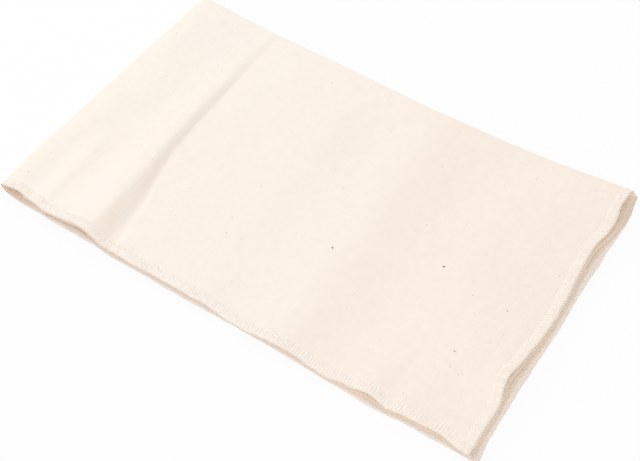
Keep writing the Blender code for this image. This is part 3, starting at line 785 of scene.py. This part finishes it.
# The seen ones: from the short fold and from the near line, then the size as a share
seen_husks = np.array((
    (0.3021, 0.1017, 2.1), (0.2332, 0.0759, 1.9), (0.3406, 0.0508, 1.5), (0.3527, 0.0931, 1.4),
    (0.3289, 0.0917, 1.4), (0.1661, 0.0482, 1.3), (0.0138, 0.0128, 1.4), (0.3600, 0.0690, 1.2),
    (0.1783, 0.0490, 1.2), (0.1951, 0.1329, 1.2), (0.1615, 0.0920, 1.2), (0.3170, 0.1957, 1.1),
    (0.2576, 0.1725, 1.1), (0.0118, 0.1778, 1.2), (0.3439, 0.0408, 1.0), (0.0212, 0.0306, 1.0),
    (0.0827, 0.1534, 1.1), (0.3342, 0.1121, 1.0), (0.2831, 0.1334, 1.0), (0.0145, 0.0343, 0.9),
    (0.2970, 0.1382, 1.0), (0.3626, 0.2006, 0.9), (0.3300, 0.0111, 0.9), (0.2095, 0.1823, 1.0),
    (0.0674, 0.1656, 1.0), (0.1278, 0.0404, 0.9), (0.2748, 0.1252, 0.9), (0.2958, 0.0252, 0.9),
    (0.0634, 0.0732, 0.9), (0.3411, 0.0758, 0.8), (0.3370, 0.0804, 0.8), (0.3203, 0.1050, 0.8),
    (0.3517, 0.0403, 0.8), (0.0465, 0.2050, 0.8), (0.1212, 0.0641, 0.9), (0.0734, 0.0357, 0.8),
    (0.3346, 0.2050, 0.8), (0.3549, 0.0675, 0.8),
))
# Each seen place is brought back to the flat cloth, from a first guess nearer and nearer to the
# place that folds to it
GUESS_U, GUESS_V = 0.002, 0.005
wanted = seen_husks[:, :2] + (SHORT_FOLD_X, NEAR_LINE_Y)
husk_u, husk_v = seen_husks[:, 0] + GUESS_U, seen_husks[:, 1] + GUESS_V
for _ in range(12):
    off = wanted - fold(husk_u, husk_v)[:, :2]
    husk_u, husk_v = husk_u + off[:, 0], husk_v + off[:, 1]
dice = np.random.default_rng(60)
out_to = HALF_LENGTH - EDGE_FREE
husk_u = np.append(husk_u, dice.uniform(-out_to, out_to, HUSK_COUNT))
husk_v = np.append(husk_v, dice.uniform(EDGE_FREE, CLOTH_WIDTH - EDGE_FREE, HUSK_COUNT))
husk_face = np.append(np.ones(len(seen_husks)), dice.choice((-1, 1), HUSK_COUNT))
husk_size = np.append(seen_husks[:, 2], dice.uniform(*SMALL_SIZES, HUSK_COUNT)) * HUSK_LENGTH / 2
husks = bmesh.new()
for u, v, face, size in zip(husk_u, husk_v, husk_face, husk_size, strict=True):
    turned = Matrix.Rotation(dice.uniform(0, math.pi), 4, "Z")
    lies = Matrix.Translation((u, v, face * CANVAS_THICK / 2)) @ turned
    shape = Matrix.Diagonal((size, size * dice.uniform(*BREADTHS), HUSK_HALF_HEIGHT, 1))
    bmesh.ops.create_icosphere(husks, subdivisions=1, radius=1.0, matrix=lies @ shape)
mesh = bpy.data.meshes.new("seed_flecks")
husks.to_mesh(mesh)
husks.free()
flecks = bpy.data.objects.new("seed_flecks", mesh)
bpy.context.scene.collection.objects.link(flecks)
darkness = mesh.attributes.new("darkness", "FLOAT", "POINT")
each = len(mesh.vertices) // len(husk_size)
seen_darkness = seen_husks[:, 2] * DARKER_BY_SIZE + DARKNESS_START
husk_darkness = np.append(seen_darkness, dice.uniform(*SMALL_DARKNESS, HUSK_COUNT))
darkness.data.foreach_set("value", np.repeat(husk_darkness, each))
set_flat(flecks)
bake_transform(flecks)
fold_piece(flecks)
mesh.shade_smooth()
# The palest husk in red, green and blue, and how far each falls to the darkest one
HUSK_COLOURS, HUSK_GRAIN = ((0.76, 0.62), (0.64, 0.62), (0.50, 0.52)), 0.2
husk_material, tree, shader = cloth_shader("seed_husk", 0.8, 0.0)
dark = tree.nodes.new("ShaderNodeAttribute")
dark.attribute_name = "darkness"
grain = noise(tree, flat_place(tree), (5000, 5000), 2.0)
level = add_up(tree, dark.outputs["Fac"], times(tree, grain, HUSK_GRAIN))
colour = put(tree, "CombineXYZ", *(
    scaled(tree, level, -fall, palest, clamp=True) for palest, fall in HUSK_COLOURS))
tree.links.new(colour, shader.inputs["Base Color"])
mesh.materials.append(husk_material)

# The floor, the light and the camera
# A plain white board under a soft sky and three wide lamps. The camera, a shiny surface and a
# clear one see the board a little overexposed. Other rays see it as it is, so that it lights the
# cloth's edges from below.
FLOOR_SIZE, FLOOR_Z = 8, -0.0001
FLOOR_COLOUR = (0.9, 0.9, 0.9, 1)
WHITE_SHARE, FLOOR_GLOW, SKY = 0.9, 1.0, 0.51


def background_ray(tree):
    """1 for a ray that shows the white background, and 0 for one that only lights the cloth."""
    path = tree.nodes.new("ShaderNodeLightPath")
    shows = path.outputs["Is Camera Ray"]
    for ray in ("Is Glossy Ray", "Is Transmission Ray"):
        shows = calc(tree, "MAXIMUM", shows, path.outputs[ray])
    return shows


bpy.ops.mesh.primitive_plane_add(size=FLOOR_SIZE, location=(0, 0, FLOOR_Z))
floor = bpy.context.active_object
floor.name = "floor"
floor_paint = bpy.data.materials.new("white_floor")
floor_paint.use_nodes = True
tree = floor_paint.node_tree
paint = tree.nodes["Principled BSDF"]
paint.inputs["Base Color"].default_value = FLOOR_COLOUR
paint.inputs["Roughness"].default_value = 1.0
paint.inputs["Specular IOR Level"].default_value = 0.0
glow = put(tree, "Emission", (1, 1, 1, 1), FLOOR_GLOW)
white_share = times(tree, background_ray(tree), WHITE_SHARE)
board = put(tree, "MixShader", white_share, paint.outputs[0], glow)
tree.links.new(board, tree.nodes["Material Output"].inputs["Surface"])
floor.data.materials.append(floor_paint)

world = bpy.data.worlds.new("studio")
bpy.context.scene.world = world
world.use_nodes = True
tree = world.node_tree
sky = tree.nodes["Background"]
sky.inputs["Color"].default_value = (1, 1, 1, 1)
sky.inputs["Strength"].default_value = SKY
white = put(tree, "Background", (1, 1, 1, 1), 1.0)
both = put(tree, "MixShader", background_ray(tree), sky.outputs[0], white)
tree.links.new(both, tree.nodes["World Output"].inputs["Surface"])

# The key comes low from behind on the left, the fill from high over the near side, and a weak
# one from low in front lights the walls of the near and right edges. Place, size and watts:
lamps = (
    ("key", (-2.35, 0.95, 1.02), 1.5, 43.9),
    ("fill", (1.10, -1.57, 2.90), 1.5, 39.8),
    ("front", (1.75, -2.45, 0.50), 1.2, 12.0),
)
for name, stands_at, size, watts in lamps:
    bpy.ops.object.light_add(type="AREA", location=stands_at)
    lamp = bpy.context.active_object
    lamp.name = f"soft_{name}_lamp"
    lamp.data.shape = "DISK"
    lamp.data.size = size
    lamp.data.energy = watts
    lamp.rotation_euler = (Vector((0, 0, 0)) - lamp.location).to_track_quat("-Z", "Y").to_euler()

# The camera stands where the photograph's perspective puts it. Its turns are in degrees.
CAMERA_PLACE, CAMERA_TURNS, CAMERA_LENS = (0.2972, -0.3307, 0.5398), (37.136, 4.660, 35.650), 57.26
bpy.ops.object.camera_add(location=CAMERA_PLACE, rotation=[math.radians(t) for t in CAMERA_TURNS])
camera = bpy.context.active_object
camera.name = "camera"
camera.data.lens = CAMERA_LENS
camera.data.clip_start, camera.data.clip_end = 0.01, 20
bpy.context.scene.camera = camera
bpy.context.scene.view_settings.view_transform = "Standard"
